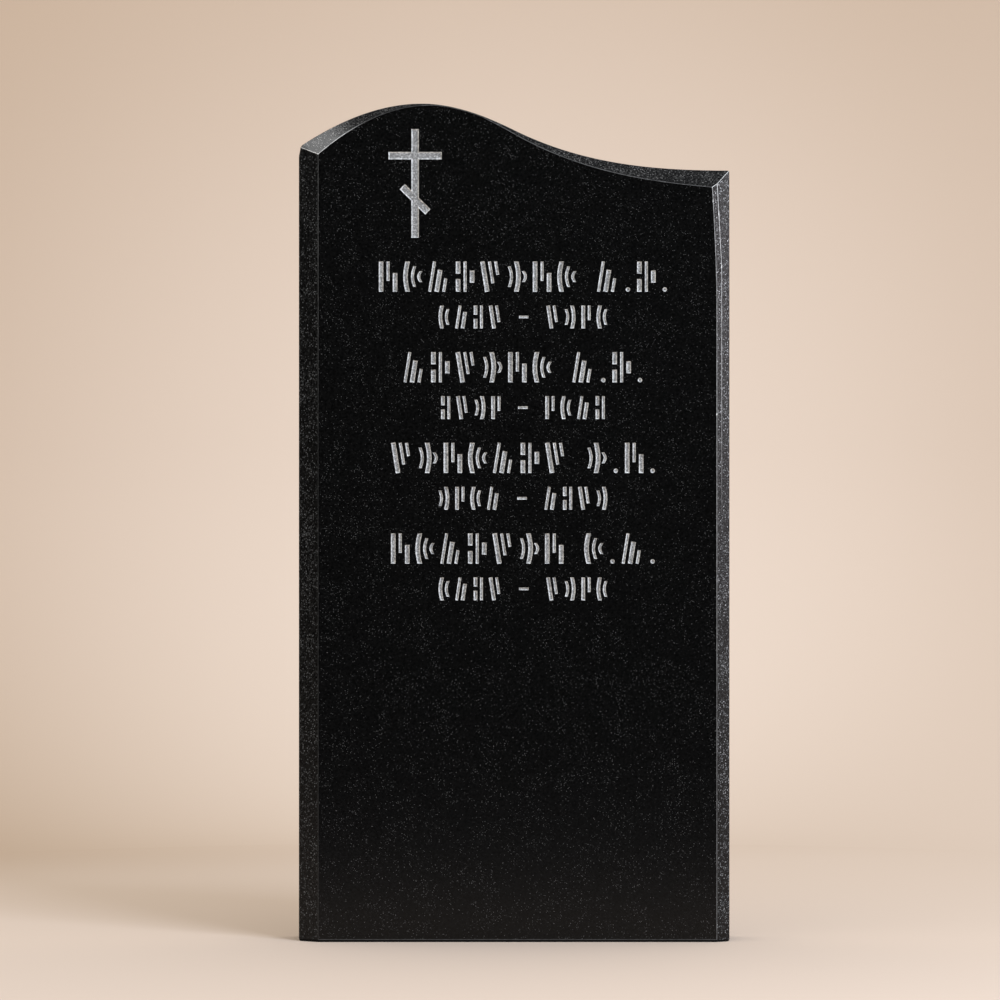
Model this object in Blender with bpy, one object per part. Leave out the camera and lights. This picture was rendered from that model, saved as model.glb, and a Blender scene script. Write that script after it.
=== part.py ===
"""A family headstone: one upright slab of black granite with a waved top.

A sloping bevel runs up both sides and over the top of the front face.
A cross and rows of shallow strokes are carved into the front face.
The slab stands on z = 0, its front faces -Y, and all sizes are in metres.
"""

import math

import bmesh
import bpy
from mathutils import Vector

# Slab
SLAB_WIDTH = 0.500
SLAB_THICKNESS = 0.080
LEFT_SIDE_HEIGHT = 0.9220
CREST_RISE = 0.0495
RIGHT_SIDE_FALL = 0.0272
CREST_FROM_LEFT = 0.142
WAVE_MIDDLE_FROM_CREST = 0.108
WAVE_MIDDLE_FALL = 0.0305
LEFT_RISE_SLOPE = 0.65
WAVE_MIDDLE_SLOPE = -0.49
WAVE_STEPS = 60

# Bevel round the front face
BEVEL_SLOPE = 0.70
LEFT_BEVEL_WIDTH = 0.0229
RIGHT_BEVEL_WIDTH = 0.0151
RIGHT_BEVEL_FLARE = 0.0052
FLARE_LENGTH = 0.131
FLARE_POWER = 1.5
FLARE_STEPS = 6
CREST_BEVEL_DROP = 0.0010
CREST_BEVEL_FROM_CREST = 0.028
CREST_BEVEL_LENGTH = 0.043
LEFT_RUNOUT_POWER = 1.6
RIGHT_RUNOUT_POWER = 0.85
LEFT_MITRE_POWER = 2.4
RIGHT_MITRE_POWER = 4.0

# Second facet in the upper part of the right bevel
RIDGE_INSET = 0.0093
RIDGE_FLARE = 0.0050
RIDGE_FLARE_LENGTH = 0.092
RIDGE_RISE = 0.0045
RIDGE_LENGTH = 0.340

# Carving
CARVING_DEPTH = 0.0020
CARVING_WALL_RUN = 0.0013
CUTTER_OVERLAP = 0.0004

# Cross
CROSS_LEFT_OF_CREST = 0.0067
CROSS_BELOW_CREST = 0.0296
CROSS_HEIGHT = 0.1258
CROSS_BAR_WIDTH = 0.0086
CROSSBAR_LENGTH = 0.0617
CROSSBAR_DROP = 0.0308
FOOTBAR_LENGTH = 0.0416
FOOTBAR_DROP = 0.0813
FOOTBAR_TILT = math.radians(-44.5)

# Rows of strokes
ROWS_BELOW_CREST = 0.1830
ROWS_RIGHT_OF_MIDDLE = 0.0102
LONG_ROW_GROUP_COUNTS = (8, 6, 7, 7)
SHORT_ROW_GROUP_COUNT = 4
LONG_ROW_COLUMN_COUNT = 3
SHORT_ROW_COLUMN_COUNT = 2
LONG_ROW_HEIGHT = 0.0350
LONG_ROW_THICK = 0.0052
LONG_ROW_THIN = 0.0034
LONG_ROW_GAP = 0.0038
LONG_ROW_GROUP_GAP = 0.0068
LONG_ROW_LEAN = 0.0056
LONG_ROW_BOW = 0.0026
LONG_ROW_WORD_GAP = 0.0240
DOT_RADIUS = 0.0026
DOT_GAP = 0.0080
SHORT_ROW_HEIGHT = 0.0265
SHORT_ROW_THICK = 0.0042
SHORT_ROW_THIN = 0.0032
SHORT_ROW_GAP = 0.0032
SHORT_ROW_GROUP_GAP = 0.0068
SHORT_ROW_LEAN = 0.0040
SHORT_ROW_BOW = 0.0020
DASH_LENGTH = 0.0110
DASH_THICKNESS = 0.0030
DASH_GAP = 0.0205
GAP_IN_PAIR = 0.0160
GAP_BETWEEN_PAIRS = 0.0275
BOW_STEPS = 6
DOT_SIDES = 14

# Carved groups: lean, bow, then columns of strokes as shares of the row's height
STROKE_GROUPS = (
    (0, 0, (("thick", (0.0, 1.0)), ("thin", (0.36, 1.0)), ("thick", (0.0, 0.62)))),
    (0, -1, (("thick", (0.0, 1.0)), ("thin", (0.16, 0.84)), ("thin", (0.32, 0.68)))),
    (1, 0, (("thin", (0.0, 1.0)), ("thick", (0.0, 0.72)), ("thin", (0.0, 0.44)))),
    (0, 0, (("thick", (0.0, 0.42), (0.60, 1.0)), ("thin", (0.0, 1.0)), ("thick", (0.30, 0.70)))),
    (-1, 0, (("thick", (0.0, 1.0)), ("thin", (0.28, 1.0)), ("thin", (0.56, 1.0)))),
    (0, 1, (("thin", (0.16, 0.84)), ("thick", (0.0, 1.0)), ("thin", (0.32, 0.68)))),
)

FRONT = -SLAB_THICKNESS / 2
BACK = SLAB_THICKNESS / 2
LEFT = -SLAB_WIDTH / 2
RIGHT = SLAB_WIDTH / 2
CREST_HEIGHT = LEFT_SIDE_HEIGHT + CREST_RISE
CREST_X = LEFT + CREST_FROM_LEFT


def hermite(place, start, end):
    """Height on a smooth curve between two knots, each (place, height, slope)."""
    (x0, z0, slope0), (x1, z1, slope1) = start, end
    span = x1 - x0
    t = (place - x0) / span
    rising = t * t * (3 - 2 * t)
    return (
        z0 * (1 - rising)
        + z1 * rising
        + slope0 * span * t * (1 - t) ** 2
        - slope1 * span * t * t * (1 - t)
    )


def wave_height(x):
    """Height of the waved top above the ground."""
    knots = (
        (LEFT, LEFT_SIDE_HEIGHT, LEFT_RISE_SLOPE),
        (CREST_X, CREST_HEIGHT, 0.0),
        (CREST_X + WAVE_MIDDLE_FROM_CREST, CREST_HEIGHT - WAVE_MIDDLE_FALL, WAVE_MIDDLE_SLOPE),
        (RIGHT, LEFT_SIDE_HEIGHT - RIGHT_SIDE_FALL, 0.0),
    )
    for start, end in zip(knots, knots[1:]):
        if x <= end[0]:
            return hermite(x, start, end)
    return knots[-1][1]


def top_bevel_shares(x):
    """Shares of the left and right corner's bevel at a place along the top, 1 at the corners and 0 between."""
    runout_start = CREST_X + CREST_BEVEL_FROM_CREST
    runout_end = runout_start + CREST_BEVEL_LENGTH
    left_share = max(0.0, (runout_start - x) / (runout_start - LEFT))
    right_share = max(0.0, (x - runout_end) / (RIGHT - runout_end))
    return left_share, right_share


def top_stations():
    """Pairs of points along the top, from left to right: on the front face and on the outer edge."""
    right_corner_width = RIGHT_BEVEL_WIDTH + RIGHT_BEVEL_FLARE
    stations = []
    for step in range(WAVE_STEPS + 1):
        outer_x = LEFT + SLAB_WIDTH * step / WAVE_STEPS
        left_share, right_share = top_bevel_shares(outer_x)
        left_drop = (LEFT_BEVEL_WIDTH - CREST_BEVEL_DROP) * left_share**LEFT_RUNOUT_POWER
        right_drop = (right_corner_width - CREST_BEVEL_DROP) * right_share**RIGHT_RUNOUT_POWER
        drop = CREST_BEVEL_DROP + left_drop + right_drop
        left_inset = LEFT_BEVEL_WIDTH * left_share**LEFT_MITRE_POWER
        right_inset = right_corner_width * right_share**RIGHT_MITRE_POWER
        face_x = outer_x + left_inset - right_inset
        face = Vector((face_x, FRONT, wave_height(face_x) - drop))
        outer = Vector((outer_x, FRONT + BEVEL_SLOPE * drop, wave_height(outer_x)))
        stations.append((face, outer))
    return stations


def right_bevel_width(z, corner_height):
    """Width of the right bevel, which flares towards the top corner."""
    share = max(0.0, 1 - (corner_height - z) / FLARE_LENGTH)
    return RIGHT_BEVEL_WIDTH + RIGHT_BEVEL_FLARE * share**FLARE_POWER


def right_stations(corner_height):
    """Triples of points down the right side: on the front face, on the ridge and on the outer edge."""
    ridge_steepness = RIDGE_RISE / (RIGHT_BEVEL_WIDTH + RIGHT_BEVEL_FLARE - RIDGE_INSET - RIDGE_FLARE)
    heights = [corner_height - FLARE_LENGTH * step / FLARE_STEPS for step in range(1, FLARE_STEPS + 1)]
    heights.append(corner_height - RIDGE_LENGTH)
    stations = []
    for z in heights:
        width = right_bevel_width(z, corner_height)
        inset = RIDGE_INSET + RIDGE_FLARE * max(0.0, 1 - (corner_height - z) / RIDGE_FLARE_LENGTH)
        fade = (corner_height - z) / RIDGE_LENGTH
        steepness = ridge_steepness + (1 - ridge_steepness) * fade
        face = Vector((RIGHT - width, FRONT, z))
        ridge = Vector((RIGHT - inset, FRONT + BEVEL_SLOPE * steepness * (width - inset), z))
        outer = Vector((RIGHT, FRONT + BEVEL_SLOPE * width, z))
        stations.append((face, ridge, outer))
    return stations


def to_back(point):
    """The point straight behind on the back face."""
    return Vector((point.x, BACK, point.z))


def make_slab():
    """The bevelled slab before it is carved."""
    top = top_stations()
    corner_face, corner_outer = top[-1]
    corner_ridge = Vector(
        (
            RIGHT - RIDGE_INSET - RIDGE_FLARE,
            FRONT + BEVEL_SLOPE * RIDGE_RISE,
            corner_face.z + RIDGE_RISE,
        )
    )
    right = right_stations(corner_face.z)
    left_face = Vector((LEFT + LEFT_BEVEL_WIDTH, FRONT, 0))
    left_outer = Vector((LEFT, FRONT + BEVEL_SLOPE * LEFT_BEVEL_WIDTH, 0))
    right_face = Vector((RIGHT - RIGHT_BEVEL_WIDTH, FRONT, 0))
    right_outer = Vector((RIGHT, FRONT + BEVEL_SLOPE * RIGHT_BEVEL_WIDTH, 0))

    faces = []
    faces.append((left_outer, left_face, top[0][0], top[0][1]))
    for (face_a, outer_a), (face_b, outer_b) in zip(top[:-2], top[1:-1]):
        faces.append((outer_a, face_a, face_b, outer_b))
    faces.append((top[-2][1], top[-2][0], corner_face, corner_ridge, corner_outer))

    strip = [(corner_face, corner_ridge, corner_outer)] + right
    for (face_a, ridge_a, outer_a), (face_b, ridge_b, outer_b) in zip(strip, strip[1:]):
        faces.append((face_a, face_b, ridge_b, ridge_a))
        faces.append((ridge_a, ridge_b, outer_b, outer_a))
    foot_face, foot_ridge, foot_outer = right[-1]
    faces.append((foot_face, right_face, right_outer, foot_outer, foot_ridge))

    outline = [left_outer] + [outer for _, outer in top]
    outline += [outer for _, _, outer in right] + [right_outer]
    for start, end in zip(outline, outline[1:]):
        faces.append((start, end, to_back(end), to_back(start)))
    faces.append(tuple(to_back(point) for point in outline))
    faces.append((right_face, left_face, left_outer, to_back(left_outer), to_back(right_outer), right_outer))
    front = [left_face] + [face for face, _ in top] + [face for face, _, _ in right] + [right_face]
    faces.append(tuple(reversed(front)))

    bm = bmesh.new()
    made = {}
    for corners in faces:
        ring = []
        for point in corners:
            key = point.to_tuple(7)
            if key not in made:
                made[key] = bm.verts.new(point)
            ring.append(made[key])
        bm.faces.new(ring)
    bmesh.ops.recalc_face_normals(bm, faces=bm.faces)
    mesh = bpy.data.meshes.new("headstone")
    bm.to_mesh(mesh)
    bm.free()
    slab = bpy.data.objects.new("headstone", mesh)
    bpy.context.collection.objects.link(slab)
    return slab


def offset_outline(points, distance):
    """The closed outline, listed counterclockwise, moved outward by a distance at every edge."""
    moved = []
    for i, point in enumerate(points):
        before = (point - points[i - 1]).normalized()
        after = (points[(i + 1) % len(points)] - point).normalized()
        out_before = Vector((before.y, -before.x))
        out_after = Vector((after.y, -after.x))
        middle = (out_before + out_after).normalized()
        moved.append(point + middle * (distance / middle.dot(out_after)))
    return moved


def add_pocket(bm, points, thickness):
    """A cutter that is widest in front of the slab and narrows to the floor of the carving."""
    run = min(CARVING_WALL_RUN, 0.4 * thickness)
    spread = run * CUTTER_OVERLAP / CARVING_DEPTH
    rings = []
    for distance, y in ((spread, FRONT - CUTTER_OVERLAP), (-run, FRONT + CARVING_DEPTH)):
        outline = offset_outline(points, distance)
        rings.append([bm.verts.new((point.x, y, point.y)) for point in outline])
    mouth, floor = rings
    bm.faces.new(mouth)
    bm.faces.new(floor[::-1])
    for i in range(len(points)):
        j = (i + 1) % len(points)
        bm.faces.new((mouth[j], mouth[i], floor[i], floor[j]))


def stroke_outline(foot, head, thickness, bow=0.0, steps=1):
    """Outline of one stroke from foot to head, counterclockwise, bowed sideways by a distance."""
    along = (head - foot).normalized()
    across = Vector((along.y, -along.x))
    right_edge = []
    left_edge = []
    for step in range(steps + 1):
        share = step / steps
        middle = foot.lerp(head, share) + across * bow * math.sin(math.pi * share)
        right_edge.append(middle + across * thickness / 2)
        left_edge.append(middle - across * thickness / 2)
    return right_edge + left_edge[::-1]


def add_group(bm, group, left, base, size):
    """One group of strokes standing on the base line; returns the place of its right edge."""
    lean_share, bow_share, columns = group
    lean = size["lean"] * lean_share
    bow = size["bow"] * bow_share
    x = left + max(0.0, -lean) + max(0.0, -bow)
    for weight, *spans in columns[: size["columns"]]:
        thickness = size[weight]
        middle = x + thickness / 2
        for low, high in spans:
            foot = Vector((middle + lean * low, base + size["height"] * low))
            head = Vector((middle + lean * high, base + size["height"] * high))
            steps = BOW_STEPS if bow else 1
            add_pocket(bm, stroke_outline(foot, head, thickness, bow, steps), thickness)
        x += thickness + size["gap"]
    return x - size["gap"] + max(0.0, lean) + max(0.0, bow)


def add_dot(bm, left, base):
    """A round pit on the base line; returns the place of its right edge."""
    turns = [2 * math.pi * side / DOT_SIDES for side in range(DOT_SIDES)]
    middle = Vector((left + DOT_RADIUS, base + DOT_RADIUS))
    ring = [middle + DOT_RADIUS * Vector((math.cos(turn), math.sin(turn))) for turn in turns]
    add_pocket(bm, ring, 2 * DOT_RADIUS)
    return left + 2 * DOT_RADIUS


def add_groups(bm, count, first, left, base, size):
    """A run of groups side by side; returns the place of its right edge."""
    for place in range(count):
        group = STROKE_GROUPS[(first + place) % len(STROKE_GROUPS)]
        left = add_group(bm, group, left, base, size) + size["group_gap"]
    return left - size["group_gap"]


def add_long_row(bm, row, base, size):
    """A long row: a run of groups, then two single groups with a dot after each."""
    count = LONG_ROW_GROUP_COUNTS[row]
    right = add_groups(bm, count, 2 * row, 0.0, base, size) + LONG_ROW_WORD_GAP
    for single in range(2):
        right = add_groups(bm, 1, 2 * row + count + single, right, base, size) + DOT_GAP
        right = add_dot(bm, right, base) + DOT_GAP
    return right - DOT_GAP


def add_short_row(bm, row, base, size):
    """A short row: two runs of groups with a dash between them."""
    right = add_groups(bm, SHORT_ROW_GROUP_COUNT, 2 * row + 1, 0.0, base, size) + DASH_GAP
    height = base + size["height"] / 2
    dash = stroke_outline(Vector((right, height)), Vector((right + DASH_LENGTH, height)), DASH_THICKNESS)
    add_pocket(bm, dash, DASH_THICKNESS)
    right += DASH_LENGTH + DASH_GAP
    return add_groups(bm, SHORT_ROW_GROUP_COUNT, 2 * row + 4, right, base, size)


def make_cutter(name, bm):
    """A hidden object that only cuts."""
    bmesh.ops.recalc_face_normals(bm, faces=bm.faces)
    mesh = bpy.data.meshes.new(name)
    bm.to_mesh(mesh)
    bm.free()
    cutter = bpy.data.objects.new(name, mesh)
    cutter.hide_render = True
    cutter.display_type = "WIRE"
    bpy.context.collection.objects.link(cutter)
    return cutter


def make_rows_cutter():
    """All rows of strokes, each row centred on the same upright line."""
    long_size = {
        "columns": LONG_ROW_COLUMN_COUNT,
        "height": LONG_ROW_HEIGHT,
        "thick": LONG_ROW_THICK,
        "thin": LONG_ROW_THIN,
        "gap": LONG_ROW_GAP,
        "group_gap": LONG_ROW_GROUP_GAP,
        "lean": LONG_ROW_LEAN,
        "bow": LONG_ROW_BOW,
    }
    short_size = {
        "columns": SHORT_ROW_COLUMN_COUNT,
        "height": SHORT_ROW_HEIGHT,
        "thick": SHORT_ROW_THICK,
        "thin": SHORT_ROW_THIN,
        "gap": SHORT_ROW_GAP,
        "group_gap": SHORT_ROW_GROUP_GAP,
        "lean": SHORT_ROW_LEAN,
        "bow": SHORT_ROW_BOW,
    }
    bm = bmesh.new()
    top = CREST_HEIGHT - ROWS_BELOW_CREST
    for row in range(len(LONG_ROW_GROUP_COUNTS)):
        for add_row, size, gap_below in (
            (add_long_row, long_size, GAP_IN_PAIR),
            (add_short_row, short_size, GAP_BETWEEN_PAIRS),
        ):
            base = top - size["height"]
            uncentred = len(bm.verts)
            length = add_row(bm, row, base, size)
            bm.verts.ensure_lookup_table()
            shift = Vector((ROWS_RIGHT_OF_MIDDLE - length / 2, 0, 0))
            bmesh.ops.translate(bm, vec=shift, verts=bm.verts[uncentred:])
            top = base - gap_below
    return make_cutter("row_cutter", bm)


def make_cross_cutters():
    """Upright, crossbar and slanting foot bar of the cross."""
    x = CREST_X - CROSS_LEFT_OF_CREST
    top = CREST_HEIGHT - CROSS_BELOW_CREST
    bars = (
        ("upright_cutter", Vector((x, top - CROSS_HEIGHT / 2)), CROSS_HEIGHT, math.pi / 2),
        ("crossbar_cutter", Vector((x, top - CROSSBAR_DROP)), CROSSBAR_LENGTH, 0.0),
        ("footbar_cutter", Vector((x, top - FOOTBAR_DROP)), FOOTBAR_LENGTH, FOOTBAR_TILT),
    )
    cutters = []
    for name, middle, length, turn in bars:
        reach = Vector((math.cos(turn), math.sin(turn))) * length / 2
        bm = bmesh.new()
        add_pocket(bm, stroke_outline(middle - reach, middle + reach, CROSS_BAR_WIDTH), CROSS_BAR_WIDTH)
        cutters.append(make_cutter(name, bm))
    return cutters


def make_granite():
    """Polished black granite."""
    granite = bpy.data.materials.new("black_granite")
    granite.use_nodes = True
    shader = granite.node_tree.nodes["Principled BSDF"]
    shader.inputs["Base Color"].default_value = (0.010, 0.010, 0.011, 1)
    shader.inputs["Roughness"].default_value = 0.16
    shader.inputs["Metallic"].default_value = 0.0
    return granite


for old in list(bpy.data.objects):
    bpy.data.objects.remove(old, do_unlink=True)

headstone = make_slab()
headstone.data.materials.append(make_granite())
for cutter in [make_rows_cutter()] + make_cross_cutters():
    cut = headstone.modifiers.new(cutter.name, "BOOLEAN")
    cut.operation = "DIFFERENCE"
    cut.solver = "EXACT"
    cut.object = cutter
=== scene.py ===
"""A family headstone of polished black granite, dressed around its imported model.

One upright slab with a waved top, ground bevels, a carved cross and rows of carved strokes.
It stands on a pale studio floor, lit from the front right.
"""

import math

import bmesh
import bpy
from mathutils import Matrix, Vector, noise


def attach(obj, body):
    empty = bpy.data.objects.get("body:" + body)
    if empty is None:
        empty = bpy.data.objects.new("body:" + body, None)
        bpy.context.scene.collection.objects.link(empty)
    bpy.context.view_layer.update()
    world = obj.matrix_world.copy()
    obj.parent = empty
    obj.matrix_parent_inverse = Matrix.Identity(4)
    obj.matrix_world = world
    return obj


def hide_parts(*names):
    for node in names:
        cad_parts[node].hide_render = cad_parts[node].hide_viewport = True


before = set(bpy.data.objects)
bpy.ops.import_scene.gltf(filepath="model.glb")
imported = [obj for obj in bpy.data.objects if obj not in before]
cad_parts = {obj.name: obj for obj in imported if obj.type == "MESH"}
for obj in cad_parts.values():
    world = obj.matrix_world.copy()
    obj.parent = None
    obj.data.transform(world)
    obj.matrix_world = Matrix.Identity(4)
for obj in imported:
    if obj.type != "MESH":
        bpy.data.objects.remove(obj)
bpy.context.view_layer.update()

# The slab is one piece of fine black granite, sawn to 80 mm and cut to a waved top.
# Its front face is polished like glass, a sloping bevel is ground round the sides and the top,
# and the sides and the top are honed. The hidden back is left plain from the saw.
SLAB_WIDTH = 0.500
SLAB_THICKNESS = 0.080
LEFT_SIDE_HEIGHT = 0.9220
CREST_RISE = 0.0495
RIGHT_SIDE_FALL = 0.0272
CREST_FROM_LEFT = 0.142
WAVE_MIDDLE_FROM_CREST = 0.108
WAVE_MIDDLE_FALL = 0.0305
LEFT_RISE_SLOPE = 0.65
WAVE_MIDDLE_SLOPE = -0.49

BEVEL_SLOPE = 0.70
LEFT_BEVEL_WIDTH = 0.0229
RIGHT_BEVEL_WIDTH = 0.0151
RIGHT_CORNER_WIDTH = 0.0203
FLARE_LENGTH = 0.131
FLARE_POWER = 1.5
CREST_BEVEL_DROP = 0.0010
CREST_BEVEL_FROM_CREST = 0.028
CREST_BEVEL_LENGTH = 0.043
LEFT_RUNOUT_POWER = 1.6
RIGHT_RUNOUT_POWER = 0.85
LEFT_MITRE_POWER = 2.4
RIGHT_MITRE_POWER = 4.0

RIDGE_INSET = 0.0093
RIDGE_FLARE = 0.0050
RIDGE_FLARE_LENGTH = 0.092
RIDGE_RISE = 0.0045
RIDGE_LENGTH = 0.340

# Worn edges: their width, how it wanders, and how much of a narrow facet they may take
ARRIS_WIDTH = 0.00050
ARRIS_WANDER = 0.35
ARRIS_WANDER_SCALE = 140.0
ARRIS_WANDER_STEP = 0.05
ARRIS_MOST_OF_FACET = 0.35
RIDGE_ARRIS_SHARE = 0.8
RIDGE_ARRIS_MOST_OF_FACET = 0.25

# The blunt front edge at the foot: its round, the heights of its rows and its dull strips, which
# are painted near black as painted shade where the stone meets the floor
BOTTOM_ARRIS = 0.0006
FOOT_RADIUS = 0.0026
FOOT_HEIGHTS = (0.0006, 0.0014, 0.0026, 0.0036)
FOOT_STRIPS = 2

# Steps of the outline, and the small rounds of its top corners
SIDE_STEP = 0.002
TOP_STEPS = 260
CORNER_STEPS = 12
MITRE_STEPS = (5, 6)
INNER_ROUND_START = 0.3
INNER_ROUND_SPAN = 0.4
LEFT_CORNER_WEAR_LENGTH = 0.012
LEFT_CORNER_WEAR = 0.0018
LEFT_CORNER_RADIUS = 0.0012
RIGHT_CORNER_RADIUS = 0.0026
MITRE_WIDTH = 0.0006

# Small nicks in the right side's edges: line of the section, height and reach
EDGE_NICKS = ((0, 0.859, 0.0012), (2, 0.844, 0.0010), (2, 0.7826, 0.0009), (0, 0.612, 0.0007))
NICK_WIDENING = 1.2

FRONT = -SLAB_THICKNESS / 2
BACK = SLAB_THICKNESS / 2
LEFT = -SLAB_WIDTH / 2
RIGHT = SLAB_WIDTH / 2
CREST_HEIGHT = LEFT_SIDE_HEIGHT + CREST_RISE
CREST_X = LEFT + CREST_FROM_LEFT

# Places of a finish in the slab's own list
POLISHED, TOP_BEVEL, LEFT_BEVEL, RIGHT_BEVEL, FOOT, ARRIS, HONED, SAWN = range(8)


def hermite(place, start, end):
    """Height on a smooth curve between two knots, each (place, height, slope)."""
    (x0, z0, slope0), (x1, z1, slope1) = start, end
    span = x1 - x0
    t = (place - x0) / span
    rising = t * t * (3 - 2 * t)
    return (
        z0 * (1 - rising)
        + z1 * rising
        + slope0 * span * t * (1 - t) ** 2
        - slope1 * span * t * t * (1 - t)
    )


def wave_height(x):
    """Height of the waved top above the ground."""
    knots = (
        (LEFT, LEFT_SIDE_HEIGHT, LEFT_RISE_SLOPE),
        (CREST_X, CREST_HEIGHT, 0.0),
        (CREST_X + WAVE_MIDDLE_FROM_CREST, CREST_HEIGHT - WAVE_MIDDLE_FALL, WAVE_MIDDLE_SLOPE),
        (RIGHT, LEFT_SIDE_HEIGHT - RIGHT_SIDE_FALL, 0.0),
    )
    for start, end in zip(knots, knots[1:]):
        if x <= end[0]:
            return hermite(x, start, end)
    return knots[-1][1]


def smooth_share(value):
    """A share from 0 to 1 that starts and ends gently."""
    value = min(1.0, max(0.0, value))
    return value * value * (3 - 2 * value)


def top_station(x):
    """Points across the top bevel at a place: on the face, halfway, and on the outer edge."""
    runout_start = CREST_X + CREST_BEVEL_FROM_CREST
    runout_end = runout_start + CREST_BEVEL_LENGTH
    left_share = max(0.0, (runout_start - x) / (runout_start - LEFT))
    right_share = max(0.0, (x - runout_end) / (RIGHT - runout_end))
    drop = CREST_BEVEL_DROP
    drop += (LEFT_BEVEL_WIDTH - CREST_BEVEL_DROP) * left_share**LEFT_RUNOUT_POWER
    drop += (RIGHT_CORNER_WIDTH - CREST_BEVEL_DROP) * right_share**RIGHT_RUNOUT_POWER
    face_x = x + LEFT_BEVEL_WIDTH * left_share**LEFT_MITRE_POWER
    face_x -= RIGHT_CORNER_WIDTH * right_share**RIGHT_MITRE_POWER
    face = Vector((face_x, FRONT, wave_height(face_x) - drop))
    outer = Vector((x, FRONT + BEVEL_SLOPE * drop, wave_height(x)))
    return face, face.lerp(outer, 0.5), outer


def foot_round(z):
    """How far the blunt edge at the foot stands back at a height."""
    below = max(0.0, 1 - z / FOOT_RADIUS)
    return FOOT_RADIUS * (1 - math.sqrt(1 - below * below))


def left_station(share, corner):
    """Points across the left bevel at a share of its height."""
    corner_face, _, corner_outer = corner
    face_z = corner_face.z * share
    face = Vector((LEFT + LEFT_BEVEL_WIDTH, FRONT + foot_round(face_z), face_z))
    outer = Vector((LEFT, FRONT + BEVEL_SLOPE * LEFT_BEVEL_WIDTH, corner_outer.z * share))
    below_corner = corner_outer.z - outer.z
    outer.x += LEFT_CORNER_WEAR * smooth_share(1 - below_corner / LEFT_CORNER_WEAR_LENGTH)
    outer.x += foot_round(outer.z)
    return face, face.lerp(outer, 0.5), outer


def right_bevel_width(z, corner_height):
    """Width of the right bevel, which flares towards the top corner."""
    share = min(1.0, max(0.0, 1 - (corner_height - z) / FLARE_LENGTH))
    return RIGHT_BEVEL_WIDTH + (RIGHT_CORNER_WIDTH - RIGHT_BEVEL_WIDTH) * share**FLARE_POWER


def right_station(share, corner):
    """Points across the right bevel at a share of its height: face, ridge and outer edge."""
    corner_height = corner[0].z
    face_z, ridge_z, outer_z = (point.z * share for point in corner)
    width = right_bevel_width(face_z, corner_height)
    face = Vector((RIGHT - width, FRONT + foot_round(face_z), face_z))
    below = corner_height - min(ridge_z, corner_height)
    inset = RIDGE_INSET + RIDGE_FLARE * max(0.0, 1 - below / RIDGE_FLARE_LENGTH)
    fade = min(1.0, below / RIDGE_LENGTH)
    corner_steepness = RIDGE_RISE / (RIGHT_CORNER_WIDTH - RIDGE_INSET - RIDGE_FLARE)
    steepness = corner_steepness + (1 - corner_steepness) * fade
    depth = BEVEL_SLOPE * steepness * (right_bevel_width(ridge_z, corner_height) - inset)
    ridge = Vector((RIGHT - inset, FRONT + depth + foot_round(ridge_z), ridge_z))
    outer_depth = BEVEL_SLOPE * right_bevel_width(outer_z, corner_height)
    outer = Vector((RIGHT - foot_round(outer_z), FRONT + outer_depth, outer_z))
    return face, ridge, outer


def rounded(before, corner, after, reach, share):
    """A point on the small round of a worn corner, between two points that lead to it."""
    start = corner + (before - corner).normalized() * reach
    end = corner + (after - corner).normalized() * reach
    return start.lerp(corner, share).lerp(corner.lerp(end, share), share)


def corner_stations(before, corner, after, outer_reach, parts):
    """Stations round a mitred corner, with the parts before, along and after the mitre."""
    stations = []
    for step in range(CORNER_STEPS + 1):
        share = step / CORNER_STEPS
        inner_share = smooth_share((share - INNER_ROUND_START) / INNER_ROUND_SPAN)
        face = rounded(before[0], corner[0], after[0], MITRE_WIDTH, inner_share)
        ridge = rounded(before[1], corner[1], after[1], MITRE_WIDTH, inner_share)
        outer = rounded(before[2], corner[2], after[2], outer_reach, share)
        part = parts[1] if step in MITRE_STEPS else parts[0] if share < 0.5 else parts[2]
        stations.append((part, (face, ridge, outer)))
    return stations


def slab_stations():
    """Every station from the left foot over the top to the right foot, each with its part."""
    stations = []
    left_corner = top_station(LEFT)
    left_corner[2].x += LEFT_CORNER_WEAR
    left_corner[1].x += LEFT_CORNER_WEAR / 2
    right_corner = top_station(RIGHT)
    right_corner[1].x = RIGHT - RIDGE_INSET - RIDGE_FLARE
    right_corner[1].y = FRONT + BEVEL_SLOPE * RIDGE_RISE
    right_corner[1].z = right_corner[0].z + RIDGE_RISE

    left_steps = round(LEFT_SIDE_HEIGHT / SIDE_STEP)
    up = [height / LEFT_SIDE_HEIGHT for height in FOOT_HEIGHTS]
    up += [step / left_steps for step in range(2, left_steps)]
    for place, share in enumerate(up):
        part = "foot" if place < FOOT_STRIPS else "left"
        stations.append((part, left_station(share, left_corner)))
    top = [top_station(LEFT + SLAB_WIDTH * step / TOP_STEPS) for step in range(1, TOP_STEPS)]
    parts = ("left", "left mitre", "top")
    stations += corner_stations(stations[-1][1], left_corner, top[2], LEFT_CORNER_RADIUS, parts)
    stations += [("top", station) for station in top[1:-2]]
    right_height = right_corner[2].z
    right_steps = round(right_height / SIDE_STEP)
    shares = [1 - step / right_steps for step in range(1, right_steps - 1)]
    shares += [height / right_height for height in reversed(FOOT_HEIGHTS)]
    down = [right_station(share, right_corner) for share in shares]
    parts = ("top", "right mitre", "right")
    stations += corner_stations(top[-3], right_corner, down[1], RIGHT_CORNER_RADIUS, parts)
    stations += [("right", station) for station in down[1 : -FOOT_STRIPS - 1]]
    stations += [("foot", station) for station in down[-FOOT_STRIPS - 1 :]]
    return stations


def nick_share(line, point):
    """How deep a point on the right side lies in a nick of its edge, from 0 to 1."""
    share = 0.0
    for nicked, height, reach in EDGE_NICKS:
        if nicked == line and point.x > 0:
            share = max(share, 1 - abs(point.z - height) / (2 * reach))
    return share


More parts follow.
